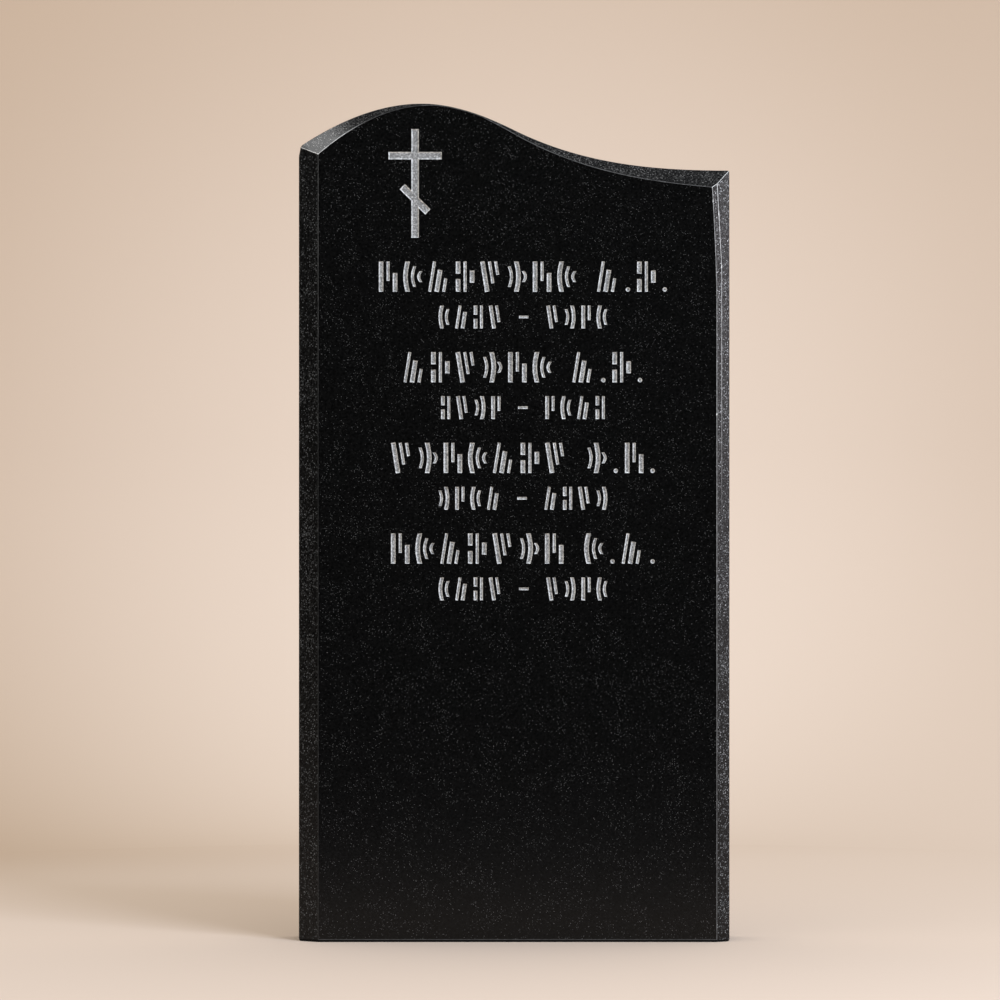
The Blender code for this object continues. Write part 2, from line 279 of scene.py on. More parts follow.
def arris_reach(line, point):
    """How far the worn strip along an edge reaches to each side of it."""
    place = Vector((point.x, ARRIS_WANDER_STEP * line, point.z))
    wander = noise.noise(place * ARRIS_WANDER_SCALE)
    return ARRIS_WIDTH * (1 + ARRIS_WANDER * wander + NICK_WIDENING * nick_share(line, point))


def section(station):
    """Eight points of the section at a station, from the front face round to the back face."""
    face, ridge, outer = station
    inward = Vector((face.x - outer.x, 0, face.z - outer.z)).normalized()
    inner_width = (ridge - face).length
    outer_width = (outer - ridge).length
    face_reach = min(arris_reach(0, face), ARRIS_MOST_OF_FACET * inner_width)
    ridge_reach = min(
        RIDGE_ARRIS_SHARE * arris_reach(2, ridge),
        RIDGE_ARRIS_MOST_OF_FACET * inner_width,
        RIDGE_ARRIS_MOST_OF_FACET * outer_width,
    )
    outer_reach = min(arris_reach(4, outer), ARRIS_MOST_OF_FACET * outer_width)
    back = Vector((outer.x, BACK, outer.z))
    back_reach = arris_reach(6, back)
    return (
        face + inward * face_reach,
        face + (ridge - face).normalized() * face_reach,
        ridge + (face - ridge).normalized() * ridge_reach,
        ridge + (outer - ridge).normalized() * ridge_reach,
        outer + (ridge - outer).normalized() * outer_reach,
        outer + Vector((0, outer_reach, 0)),
        back - Vector((0, back_reach, 0)),
        back + inward * back_reach,
    )


# How bright each edge strip shows, from 0 for dark polished stone to 1 for bare bright stone:
# partly wear, and partly painted highlight that is brighter where the edge catches the light
LEFT_EDGE_WEAR_AND_HIGHLIGHT = 0.05
LEFT_EDGE_LOW_WEAR_AND_HIGHLIGHT = 0.012
CREST_EDGE_WEAR_AND_HIGHLIGHT = 0.03
TOP_LEFT_EDGE_WEAR_AND_HIGHLIGHT = 0.52
TOP_RIGHT_EDGE_WEAR_AND_HIGHLIGHT = 0.08
RIGHT_EDGE_WEAR_AND_HIGHLIGHT = 0.26
RIGHT_EDGE_LOW_WEAR_AND_HIGHLIGHT = 0.10
RIDGE_WEAR_AND_HIGHLIGHT = 0.52
LEFT_MITRE_WEAR_AND_HIGHLIGHT = 0.80
RIGHT_MITRE_WEAR_AND_HIGHLIGHT = 0.75
OUTER_EDGE_WEAR = 0.05
BACK_EDGE_WEAR = 0.07
FOOT_EDGE_WEAR = 0.01
FOOT_LINE_WEAR_AND_HIGHLIGHT = 0.04
FACE_NICK_WEAR = 0.6
RIDGE_NICK_WEAR = 0.4
LEAST_RIDGE_WEAR_AND_HIGHLIGHT = 0.02

# Where the wear and painted highlight of an edge starts to grow, and over what length; below zero
# it grows leftwards
LEFT_EDGE_FADE = (0.55, 0.30)
RIGHT_EDGE_FADE = (0.15, 0.50)
RIDGE_FADE = (0.46, 0.32)
TOP_LEFT_FADE = (-0.165, -0.045)


def faded(low, high, place, fade):
    """A wear and painted highlight that grows from low to high along a fade."""
    start, length = fade
    return low + (high - low) * smooth_share((place - start) / length)


def edge_wear_and_highlight(part, strip, point):
    """Wear and painted highlight of the strip of edge at a point; strips count from the front face
    to the back.
    """
    if strip == 4:
        return OUTER_EDGE_WEAR
    if strip == 6:
        return BACK_EDGE_WEAR
    if part == "foot":
        return FOOT_EDGE_WEAR
    if part == "left":
        return faded(LEFT_EDGE_LOW_WEAR_AND_HIGHLIGHT, LEFT_EDGE_WEAR_AND_HIGHLIGHT, point.z, LEFT_EDGE_FADE)
    if part == "right" and strip == 2:
        wear_and_highlight = faded(0.0, RIDGE_WEAR_AND_HIGHLIGHT, point.z, RIDGE_FADE)
        return wear_and_highlight + RIDGE_NICK_WEAR * nick_share(2, point)
    if part == "right":
        wear_and_highlight = faded(RIGHT_EDGE_LOW_WEAR_AND_HIGHLIGHT, RIGHT_EDGE_WEAR_AND_HIGHLIGHT, point.z, RIGHT_EDGE_FADE)
        return wear_and_highlight + FACE_NICK_WEAR * nick_share(0, point)
    if part == "top" and point.x < CREST_X:
        return faded(CREST_EDGE_WEAR_AND_HIGHLIGHT, TOP_LEFT_EDGE_WEAR_AND_HIGHLIGHT, point.x, TOP_LEFT_FADE)
    if part == "top":
        return TOP_RIGHT_EDGE_WEAR_AND_HIGHLIGHT
    return LEFT_MITRE_WEAR_AND_HIGHLIGHT if part == "left mitre" else RIGHT_MITRE_WEAR_AND_HIGHLIGHT


def make_slab():
    """The uncarved slab as one closed mesh, with a finish and a value of wear and painted highlight
    for every face.
    """
    stations = slab_stations()
    bm = bmesh.new()
    wear_and_highlight_layer = bm.faces.layers.float.new("wear_and_highlight")
    rings = []
    for _, station in stations:
        rings.append([bm.verts.new(point) for point in section(station)])
    for ring in (rings[0], rings[-1]):
        for vert in ring:
            vert.co.z = BOTTOM_ARRIS

    def add(corners, finish, wear_and_highlight=0.0):
        face = bm.faces.new(corners)
        face.material_index = finish
        face[wear_and_highlight_layer] = wear_and_highlight

    bevels = {"left": LEFT_BEVEL, "right": RIGHT_BEVEL, "top": TOP_BEVEL, "foot": FOOT}
    for (part, _), ring, following in zip(stations, rings, rings[1:]):
        bevel = bevels.get(part, ARRIS)
        for strip, finish in enumerate((ARRIS, bevel, bevel, bevel, ARRIS, HONED, ARRIS)):
            wear_and_highlight = edge_wear_and_highlight(part, strip, ring[strip].co)
            if part == "foot" and strip == 0:
                finish = FOOT
            if part == "right" and strip == 2 and wear_and_highlight > LEAST_RIDGE_WEAR_AND_HIGHLIGHT:
                finish = ARRIS
            corners = (ring[strip], ring[strip + 1], following[strip + 1], following[strip])
            add(corners, finish, wear_and_highlight)

    left, right = rings[0], rings[-1]
    foot = []
    for ring, side in ((left, 1), (right, -1)):
        inner = []
        for place, vert in enumerate(ring):
            shift = Vector((side * BOTTOM_ARRIS, 0, -BOTTOM_ARRIS))
            if place == 0:
                shift = Vector((0, BOTTOM_ARRIS, -BOTTOM_ARRIS))
            if place == len(ring) - 1:
                shift = Vector((0, -BOTTOM_ARRIS, -BOTTOM_ARRIS))
            inner.append(bm.verts.new(vert.co + shift))
        foot.append(inner)
    for ring, inner, turned in ((left, foot[0], False), (right, foot[1], True)):
        for i in range(len(ring) - 1):
            corners = (ring[i + 1], ring[i], inner[i], inner[i + 1])
            add(corners[::-1] if turned else corners, FOOT)
    add((left[0], right[0], foot[1][0], foot[0][0]), FOOT)
    add((right[-1], left[-1], foot[0][-1], foot[1][-1]), ARRIS, BACK_EDGE_WEAR)
    for i in range(FOOT_STRIPS + 1):
        corners = (rings[i][0], rings[i + 1][0], rings[-i - 2][0], rings[-i - 1][0])
        add(corners, ARRIS if i == FOOT_STRIPS else FOOT, FOOT_LINE_WEAR_AND_HIGHLIGHT)
    add(foot[0] + foot[1][::-1], SAWN)
    add([ring[0] for ring in rings[FOOT_STRIPS + 1 : -FOOT_STRIPS - 1]], POLISHED)
    add([ring[-1] for ring in rings][::-1], SAWN)
    bmesh.ops.recalc_face_normals(bm, faces=bm.faces)
    mesh = bpy.data.meshes.new("granite_slab")
    bm.to_mesh(mesh)
    bm.free()
    slab = bpy.data.objects.new("granite_slab", mesh)
    bpy.context.scene.collection.objects.link(slab)
    return slab


def put(tree, kind, inputs=None, **settings):
    """A new node with its settings, and its inputs set to values or linked to outputs."""
    node = tree.nodes.new(kind)
    for name, value in settings.items():
        setattr(node, name, value)
    for name, value in (inputs or {}).items():
        if isinstance(value, bpy.types.NodeSocket):
            tree.links.new(value, node.inputs[name])
        else:
            node.inputs[name].default_value = value
    return node


def math_of(tree, operation, *values, clamp=False):
    """The result of a math node on values or outputs."""
    inputs = dict(enumerate(values))
    return put(tree, "ShaderNodeMath", inputs, operation=operation, use_clamp=clamp).outputs[0]


def between(tree, value, low, high, to_low=0.0, to_high=1.0):
    """A value mapped smoothly from one range to another."""
    inputs = {"Value": value, "From Min": low, "From Max": high}
    inputs |= {"To Min": to_low, "To Max": to_high}
    node = put(tree, "ShaderNodeMapRange", inputs, interpolation_type="SMOOTHSTEP")
    return node.outputs["Result"]


def vector_math_of(tree, operation, *values):
    """The result of a vector math node on vectors or outputs."""
    inputs = dict(enumerate(values))
    return put(tree, "ShaderNodeVectorMath", inputs, operation=operation).outputs[0]


def scaled(tree, vector, factor):
    """A vector or a colour times a factor."""
    inputs = {0: vector, "Scale": factor}
    return put(tree, "ShaderNodeVectorMath", inputs, operation="SCALE").outputs[0]


def noise_of(tree, place, scale, detail, output="Fac"):
    """Noise over a place, as a value or as a colour."""
    inputs = {"Vector": place, "Scale": scale, "Detail": detail}
    return put(tree, "ShaderNodeTexNoise", inputs).outputs[output]


def mixed(tree, factor, low, high):
    """Two colours mixed by a factor."""
    node = put(tree, "ShaderNodeMix", {0: factor, 6: low, 7: high}, data_type="RGBA")
    return node.outputs[2]


def grey(tone, warmth=0.0):
    """A neutral colour, a little warmer where the warmth is above zero."""
    return (tone * (1 + warmth), tone, tone * (1 - warmth), 1)


def make_group(name, inputs, outputs):
    """An empty shader group with named inputs and outputs."""
    group = bpy.data.node_groups.new(name, "ShaderNodeTree")
    for socket, kind, value in inputs:
        made = group.interface.new_socket(socket, in_out="INPUT", socket_type=kind)
        made.default_value = value
    for socket, kind in outputs:
        group.interface.new_socket(socket, in_out="OUTPUT", socket_type=kind)
    return group, group.nodes.new("NodeGroupInput").outputs, group.nodes.new("NodeGroupOutput")


# Noise scales of the granite's grain, and how far it tears the outlines of the crystals
DRIFT_SCALE = 45.0
TEAR_SCALE = 700.0
TEAR_REACH = 0.0009
MOTTLE_SCALE = 420.0


def make_grain_group():
    """Grain of the granite: a dark ground with small pale crystals that gather in drifts."""
    group, given, result = make_group(
        "granite_grain",
        (
            ("Ground", "NodeSocketColor", grey(0.004)),
            ("Crystal", "NodeSocketColor", grey(0.05)),
            ("Crystal share", "NodeSocketFloat", 0.2),
            ("Grain size", "NodeSocketFloat", 0.0014),
            ("Gathering", "NodeSocketFloat", 1.0),
        ),
        (
            ("Color", "NodeSocketColor"),
            ("Crystals", "NodeSocketFloat"),
            ("Height", "NodeSocketFloat"),
        ),
    )
    place = put(group, "ShaderNodeTexCoord").outputs["Object"]
    scale = math_of(group, "DIVIDE", 1.0, given["Grain size"])
    drift = noise_of(group, place, DRIFT_SCALE, 2.0)
    torn = noise_of(group, place, TEAR_SCALE, 2.0, "Color")
    torn = vector_math_of(group, "MULTIPLY_ADD", torn, (TEAR_REACH,) * 3, place)
    cells = put(group, "ShaderNodeTexVoronoi", {"Vector": torn, "Scale": scale, "Randomness": 1.0})
    random = put(group, "ShaderNodeSeparateColor", {"Color": cells.outputs["Color"]}).outputs
    drift = between(group, drift, 0.38, 0.64, -0.78, 0.8)
    drift = math_of(group, "ADD", math_of(group, "MULTIPLY", drift, given["Gathering"]), 1.0)
    drifted = math_of(group, "MULTIPLY", given["Crystal share"], drift)
    chosen = math_of(group, "LESS_THAN", random["Red"], drifted)
    shape = between(group, cells.outputs["Distance"], 0.15, 0.65, 1.0, 0.0)
    strength = math_of(group, "POWER", random["Green"], 2.0)
    crystals = math_of(group, "MULTIPLY", math_of(group, "MULTIPLY", chosen, shape), strength)
    mottle = noise_of(group, place, MOTTLE_SCALE, 3.0)
    ground_tone = between(group, mottle, 0.3, 0.7, 0.45, 1.55)
    ground = scaled(group, given["Ground"], ground_tone)
    color = mixed(group, crystals, ground, given["Crystal"])
    low_relief = math_of(group, "MULTIPLY", mottle, 0.6)
    height = math_of(group, "ADD", low_relief, math_of(group, "MULTIPLY", crystals, 0.4))
    group.links.new(color, result.inputs["Color"])
    group.links.new(crystals, result.inputs["Crystals"])
    group.links.new(height, result.inputs["Height"])
    return group


def make_tooling_group():
    """Marks of a grinding wheel or a saw: fine streaks one way over a mottled ground."""
    group, given, result = make_group(
        "tool_marks",
        (
            ("Stretch", "NodeSocketVector", (700.0, 700.0, 60.0)),
            ("Mottle size", "NodeSocketFloat", 0.002),
        ),
        (
            ("Streaks", "NodeSocketFloat"),
            ("Mottle", "NodeSocketFloat"),
            ("Height", "NodeSocketFloat"),
        ),
    )
    place = put(group, "ShaderNodeTexCoord").outputs["Object"]
    stretched = vector_math_of(group, "MULTIPLY", place, given["Stretch"])
    streaks = noise_of(group, stretched, 1.0, 3.0)
    scale = math_of(group, "DIVIDE", 1.0, given["Mottle size"])
    mottle = noise_of(group, place, scale, 4.0)
    half_streaks = math_of(group, "MULTIPLY", streaks, 0.5)
    height = math_of(group, "ADD", half_streaks, math_of(group, "MULTIPLY", mottle, 0.5))
    group.links.new(streaks, result.inputs["Streaks"])
    group.links.new(mottle, result.inputs["Mottle"])
    group.links.new(height, result.inputs["Height"])
    return group


GRAIN = make_grain_group()
TOOLING = make_tooling_group()


def new_finish(name, specular=0.5):
    """A stone material with an empty shader to be fed, and its node tree."""
    material = bpy.data.materials.new(name)
    material.use_nodes = True
    shader = material.node_tree.nodes["Principled BSDF"]
    shader.inputs["Metallic"].default_value = 0.0
    shader.inputs["IOR"].default_value = 1.5
    shader.inputs["Specular IOR Level"].default_value = specular
    return material, material.node_tree, shader


def grain_of(tree, ground, crystal, share, size, gathering=1.0):
    """The grain group placed in a material."""
    node = put(tree, "ShaderNodeGroup", node_tree=GRAIN)
    node.inputs["Gathering"].default_value = gathering
    node.inputs["Ground"].default_value = ground
    node.inputs["Crystal"].default_value = crystal
    node.inputs["Crystal share"].default_value = share
    node.inputs["Grain size"].default_value = size
    return node.outputs


def tooling_of(tree, stretch, mottle_size):
    """The tool mark group placed in a material."""
    node = put(tree, "ShaderNodeGroup", node_tree=TOOLING)
    node.inputs["Stretch"].default_value = stretch
    node.inputs["Mottle size"].default_value = mottle_size
    return node.outputs


def bump(tree, shader, height, strength, distance):
    """Fine relief that only catches the light."""
    inputs = {"Strength": strength, "Distance": distance, "Height": height}
    tree.links.new(put(tree, "ShaderNodeBump", inputs).outputs["Normal"], shader.inputs["Normal"])


def polished_granite():
    """The front face, polished until it mirrors."""
    material, tree, shader = new_finish("polished_granite", 0.24)
    grain = grain_of(tree, grey(0.0024), grey(0.17), share=0.10, size=0.0009, gathering=0.75)
    tree.links.new(grain["Color"], shader.inputs["Base Color"])
    glint = math_of(tree, "MULTIPLY", grain["Crystals"], 0.7)
    tree.links.new(glint, shader.inputs["Metallic"])
    roughness = between(tree, grain["Crystals"], 0.0, 1.0, 0.21, 0.32)
    tree.links.new(roughness, shader.inputs["Roughness"])
    return material


def ground_granite(name, specular, tone, crystal, share, shine, stretch, smooth, rough, relief):
    """A bevel left from the grinding wheel, with crystal faces that glint."""
    material, tree, shader = new_finish(name, specular)
    grain = grain_of(tree, grey(tone), crystal, share, size=0.0014, gathering=0.45)
    marks = tooling_of(tree, stretch, 0.0014)
    lighten = between(tree, marks["Mottle"], 0.42, 0.72, 0.0, 0.5)
    color = mixed(tree, lighten, grain["Color"], grey(tone * 4))
    tree.links.new(color, shader.inputs["Base Color"])
    glint = math_of(tree, "MULTIPLY", grain["Crystals"], shine)
    tree.links.new(glint, shader.inputs["Metallic"])
    roughness = between(tree, marks["Streaks"], 0.36, 0.64, smooth, rough)
    tree.links.new(roughness, shader.inputs["Roughness"])
    bump(tree, shader, marks["Height"], relief, 0.0007)
    return material


def worn_and_highlit_arris():
    """Edges where the polish has worn to bare stone, with painted highlights along the edges that
    catch the light; the mesh says how far.
    """
    material, tree, shader = new_finish("worn_and_highlit_arris")
    wear_and_highlight = put(tree, "ShaderNodeAttribute", attribute_name="wear_and_highlight").outputs["Fac"]
    marks = tooling_of(tree, (260.0, 260.0, 260.0), 0.003)
    broken = between(tree, marks["Streaks"], 0.3, 0.65, 0.55, 1.1)
    amount = math_of(tree, "MULTIPLY", wear_and_highlight, broken, clamp=True)
    # The pale end of this mix is painted highlight as much as bare stone.
    tree.links.new(mixed(tree, amount, grey(0.006), grey(0.85)), shader.inputs["Base Color"])
    tree.links.new(between(tree, marks["Mottle"], 0.3, 0.7, 0.35, 0.55), shader.inputs["Roughness"])
    return material


def dull_shaded_granite():
    """The blunt edge at the foot, a dull finish painted near black: painted shade where the stone
    meets the floor.
    """
    material, tree, shader = new_finish("dull_shaded_granite", 0.06)
    marks = tooling_of(tree, (260.0, 260.0, 260.0), 0.003)
    color = mixed(tree, marks["Mottle"], grey(0.002), grey(0.006))
    tree.links.new(color, shader.inputs["Base Color"])
    shader.inputs["Roughness"].default_value = 0.6
    return material


def honed_granite():
    """The sides and the top, rubbed smooth without a shine."""
    material, tree, shader = new_finish("honed_granite", 0.4)
    grain = grain_of(tree, grey(0.011), grey(0.12), share=0.30, size=0.0015)
    marks = tooling_of(tree, (500.0, 40.0, 40.0), 0.003)
    tree.links.new(grain["Color"], shader.inputs["Base Color"])
    tree.links.new(between(tree, marks["Mottle"], 0.3, 0.7, 0.32, 0.46), shader.inputs["Roughness"])
    bump(tree, shader, marks["Height"], 0.2, 0.0002)
    return material


def sawn_granite():
    """The back and the underside, as the saw left them."""
    material, tree, shader = new_finish("sawn_granite", 0.4)
    grain = grain_of(tree, grey(0.022), grey(0.12), share=0.28, size=0.0018)
    marks = tooling_of(tree, (6.0, 6.0, 420.0), 0.004)
    lighten = between(tree, marks["Streaks"], 0.35, 0.75, 0.0, 0.35)
    tree.links.new(mixed(tree, lighten, grain["Color"], grey(0.05)), shader.inputs["Base Color"])
    tree.links.new(between(tree, marks["Mottle"], 0.3, 0.7, 0.5, 0.68), shader.inputs["Roughness"])
    bump(tree, shader, marks["Height"], 0.4, 0.0005)
    return material


slab = make_slab()
for finish in (
    polished_granite(),
    # The three bevels are one ground finish; their differences in colour are painted light and
    # shade: a lighter ground on the top bevel, brighter and more crystals on the right bevel, and
    # fewer, darker crystals on the left bevel.
    ground_granite(
        "top_bevel",
        specular=0.36,
        tone=0.0085,
        crystal=grey(0.26, 0.02),
        share=0.55,
        shine=0.45,
        stretch=(700.0, 700.0, 700.0),
        smooth=0.05,
        rough=0.11,
        relief=0.22,
    ),
    ground_granite(
        "left_bevel",
        specular=0.26,
        tone=0.0026,
        crystal=grey(0.24, -0.04),
        share=0.40,
        shine=0.45,
        stretch=(800.0, 800.0, 200.0),
        smooth=0.16,
        rough=0.50,
        relief=1.0,
    ),
    ground_granite(
        "right_bevel",
        specular=0.22,
        tone=0.0026,
        crystal=grey(0.42, -0.04),
        share=0.52,
        shine=0.60,
        stretch=(800.0, 800.0, 200.0),
        smooth=0.16,
        rough=0.50,
        relief=1.0,
    ),
    dull_shaded_granite(),
    worn_and_highlit_arris(),
    honed_granite(),
    sawn_granite(),
):
    slab.data.materials.append(finish)

# The carving is blasted about 2 mm deep into the polish through a rubber stencil.
# Blasting leaves a pale, matt floor; the sloping walls of each cut are painted paler still, a
# painted highlight where they catch the light.
CARVING_DEPTH = 0.0020
CARVING_WALL_RUN = 0.0013
WALL_RUN_SHARE = 0.4
CUTTER_OVERLAP = 0.0004
CUTTER_MERGE = 1e-6
BOW_STEPS = 6
DOT_SIDES = 14


def blasted_granite(name, tone, spread, grain_size, relief):
    """Blasted stone, pale because the crystals are bruised."""
    material, tree, shader = new_finish(name, 0.3)
    crystal = grey(tone * 1.5, -0.005)
    grain = grain_of(tree, grey(tone, -0.005), crystal, share=0.5, size=grain_size)
    marks = tooling_of(tree, (900.0, 900.0, 900.0), grain_size)
    darken = between(tree, marks["Mottle"], 0.40, 0.60, spread, 0.0)
    color = mixed(tree, darken, grain["Color"], grey(tone * 0.42, -0.005))
    tree.links.new(color, shader.inputs["Base Color"])
    roughness = between(tree, marks["Streaks"], 0.3, 0.7, 0.75, 0.95)
    tree.links.new(roughness, shader.inputs["Roughness"])
    bump(tree, shader, marks["Height"], relief, 0.0004)
    return material


CARVED_FLOOR = blasted_granite("carved_floor", 0.29, 1.0, 0.0012, 0.8)
# The walls are the same blasted stone as the floor; their paler tone is painted highlight.
CARVED_WALL = blasted_granite("carved_wall", 0.52, 0.3, 0.0010, 0.3)


# Named inputs of the cutter's tree, with what every cutter gets
CUT_INPUTS = (
    ("Depth", "NodeSocketFloat", CARVING_DEPTH),
    ("Wall run", "NodeSocketFloat", CARVING_WALL_RUN),
    ("Overlap", "NodeSocketFloat", CUTTER_OVERLAP),
    ("Bow steps", "NodeSocketInt", BOW_STEPS),
    ("Dot sides", "NodeSocketInt", DOT_SIDES),
    ("Floor finish", "NodeSocketMaterial", CARVED_FLOOR),
    ("Wall finish and highlight", "NodeSocketMaterial", CARVED_WALL),
)


def make_cut_tree():
    """Sloping cutters from a mesh of points, each with the size, turn and bow of its cut."""
    tree = bpy.data.node_groups.new("carved_strokes", "GeometryNodeTree")
    tree.is_modifier = True
    tree.interface.new_socket("Geometry", in_out="INPUT", socket_type="NodeSocketGeometry")
    for name, kind, _ in CUT_INPUTS:
        tree.interface.new_socket(name, in_out="INPUT", socket_type=kind)
    tree.interface.new_socket("Geometry", in_out="OUTPUT", socket_type="NodeSocketGeometry")
    given = tree.nodes.new("NodeGroupInput").outputs

    def named(attribute, kind):
        node = put(tree, "GeometryNodeInputNamedAttribute", {"Name": attribute}, data_type=kind)
        return node.outputs[0]

    def store(geometry, attribute, kind, value, domain="POINT"):
        inputs = {"Geometry": geometry, "Name": attribute, "Value": value}
        node = put(
            tree, "GeometryNodeStoreNamedAttribute", inputs, data_type=kind, domain=domain
        )
        return node.outputs["Geometry"]

    def vector_of(x, y, z):
        return put(tree, "ShaderNodeCombineXYZ", {"X": x, "Y": y, "Z": z}).outputs[0]

    def into_face(geometry):
        inputs = {"Geometry": geometry, "Rotation": (-math.pi / 2, 0, 0)}
        return put(tree, "GeometryNodeTransform", inputs).outputs["Geometry"]

    # A stroke's mouth is a plate of unit size, and its two end rows lie half a unit out
    rows = math_of(tree, "ADD", given["Bow steps"], 1.0)
    unit = {"Size X": 1.0, "Size Y": 1.0, "Vertices X": 2, "Vertices Y": rows}
    plate = put(tree, "GeometryNodeMeshGrid", unit)
    position = put(tree, "GeometryNodeInputPosition").outputs[0]
    place = put(tree, "ShaderNodeSeparateXYZ", {0: position}).outputs
    side = math_of(tree, "SIGN", place["X"])
    end = math_of(tree, "TRUNC", math_of(tree, "MULTIPLY", place["Y"], 2.0002))
    plate_outward = vector_of(side, 0.0, math_of(tree, "MULTIPLY", end, -1.0))
    plate = store(plate.outputs["Mesh"], "outward", "FLOAT_VECTOR", plate_outward)
    along = math_of(tree, "SUBTRACT", 0.5, place["Y"])
    plate = into_face(store(plate, "along", "FLOAT", along))

    # A dot's mouth is a circle of unit width
    unit = {"Vertices": given["Dot sides"], "Radius": 0.5}
    circle = put(tree, "GeometryNodeMeshCircle", unit, fill_type="NGON")
    radial = vector_of(place["X"], 0.0, math_of(tree, "MULTIPLY", place["Y"], -1.0))
    radial = vector_math_of(tree, "NORMALIZE", radial)
    dot = into_face(store(circle.outputs["Mesh"], "outward", "FLOAT_VECTOR", radial))

    shapes = tree.nodes.new("GeometryNodeJoinGeometry")
    for shape in (dot, plate):
        instance = put(tree, "GeometryNodeGeometryToInstance", {"Geometry": shape}).outputs[0]
        tree.links.new(instance, shapes.inputs[0])
    turn = named("turn", "FLOAT")
    laid = put(
        tree,
        "GeometryNodeInstanceOnPoints",
        {
            "Points": given["Geometry"],
            "Instance": shapes.outputs[0],
            "Pick Instance": True,
            "Instance Index": named("shape", "INT"),
            "Rotation": vector_of(0.0, turn, 0.0),
            "Scale": named("size", "FLOAT_VECTOR"),
        },
    )
    mouths = put(tree, "GeometryNodeRealizeInstances", {0: laid.outputs[0]}).outputs[0]

    def turned(vector):
        inputs = {"Vector": vector, "Angle": turn}
        return put(tree, "ShaderNodeVectorRotate", inputs, rotation_type="Y_AXIS").outputs[0]

    thickness = put(tree, "ShaderNodeSeparateXYZ", {0: named("size", "FLOAT_VECTOR")}).outputs["X"]
    most_run = math_of(tree, "MULTIPLY", thickness, WALL_RUN_SHARE)
    run = math_of(tree, "MINIMUM", given["Wall run"], most_run)
    spread = math_of(tree, "MULTIPLY", run, given["Overlap"])
    spread = math_of(tree, "DIVIDE", spread, given["Depth"])
    bow = math_of(tree, "SINE", math_of(tree, "MULTIPLY", named("along", "FLOAT"), math.pi))
    bow = math_of(tree, "MULTIPLY", bow, named("bow", "FLOAT"))
    lift = math_of(tree, "MULTIPLY", given["Overlap"], -1.0)
    outward = named("outward", "FLOAT_VECTOR")
    bowed = vector_of(bow, lift, 0.0)
    widened = vector_math_of(tree, "ADD", bowed, scaled(tree, outward, spread))
    moved = {"Geometry": mouths, "Offset": turned(widened)}
    mouths = put(tree, "GeometryNodeSetPosition", moved).outputs[0]

    depth = vector_of(0.0, math_of(tree, "ADD", given["Depth"], given["Overlap"]), 0.0)
    downward = {"Mesh": mouths, "Offset": depth, "Offset Scale": 1.0, "Individual": False}
    sunk = put(tree, "GeometryNodeExtrudeMesh", downward).outputs
    inset = math_of(tree, "MULTIPLY", math_of(tree, "ADD", run, spread), -1.0)
    moved = {"Geometry": sunk["Mesh"], "Selection": sunk["Top"]}
    moved["Offset"] = turned(scaled(tree, outward, inset))
    narrowed = put(tree, "GeometryNodeSetPosition", moved).outputs[0]
    floored = store(narrowed, "floor", "BOOLEAN", sunk["Top"], "FACE")
    lid = put(tree, "GeometryNodeFlipFaces", {"Mesh": mouths}).outputs[0]
    joined = tree.nodes.new("GeometryNodeJoinGeometry")
    for part in (lid, floored):
        tree.links.new(part, joined.inputs[0])
    merged = {0: joined.outputs[0], "Distance": CUTTER_MERGE}
    closed = put(tree, "GeometryNodeMergeByDistance", merged).outputs[0]
    realized = put(tree, "GeometryNodeRealizeInstances", {0: closed}).outputs[0]
    walls = {0: realized, "Material": given["Wall finish and highlight"]}
    walled = put(tree, "GeometryNodeSetMaterial", walls).outputs[0]
    floor = {0: walled, "Selection": named("floor", "BOOLEAN"), "Material": given["Floor finish"]}
    put(tree, "NodeGroupOutput", {0: put(tree, "GeometryNodeSetMaterial", floor).outputs[0]})
    return tree


CUT_TREE = make_cut_tree()
STROKE, DOT = range(2)


def applied(carrier):
    """The object's result as a plain mesh, with its modifiers removed."""
    graph = bpy.context.evaluated_depsgraph_get()
    mesh = bpy.data.meshes.new_from_object(
        carrier.evaluated_get(graph), preserve_all_data_layers=True, depsgraph=graph
    )
    carrier.modifiers.clear()
    carrier.data = mesh
    return carrier


def make_cutter(name, cuts):
    """A cutter from cuts, each (shape, middle, width, length, turn, bow), already finished."""
    shapes, middles, widths, lengths, turns, bows = zip(*cuts)
    mesh = bpy.data.meshes.new(name)
    mesh.from_pydata([(middle.x, FRONT, middle.y) for middle in middles], [], [])
    sizes = [value for size in zip(widths, lengths) for value in (size[0], 1.0, size[1])]
    mesh.attributes.new("size", "FLOAT_VECTOR", "POINT").data.foreach_set("vector", sizes)
    mesh.attributes.new("shape", "INT", "POINT").data.foreach_set("value", shapes)
    mesh.attributes.new("turn", "FLOAT", "POINT").data.foreach_set("value", turns)
    mesh.attributes.new("bow", "FLOAT", "POINT").data.foreach_set("value", bows)
    cutter = bpy.data.objects.new(name, mesh)
    bpy.context.scene.collection.objects.link(cutter)
    modifier = cutter.modifiers.new("carved_strokes", "NODES")
    modifier.node_group = CUT_TREE
    identifiers = {item.name: item.identifier for item in CUT_TREE.interface.items_tree}
    for name, _, value in CUT_INPUTS:
        modifier[identifiers[name]] = value
    return applied(cutter)


# The cross stands under the crest, with a slanting bar near its foot.
# Its three bars are blasted through one stencil, so their walls meet at sharp corners.
CROSS_LEFT_OF_CREST = 0.0067
CROSS_BELOW_CREST = 0.0296
CROSS_HEIGHT = 0.1258
CROSS_BAR_WIDTH = 0.0086
CROSSBAR_LENGTH = 0.0617
CROSSBAR_DROP = 0.0308
FOOTBAR_LENGTH = 0.0416
FOOTBAR_DROP = 0.0813
FOOTBAR_TURN = math.radians(134.5)

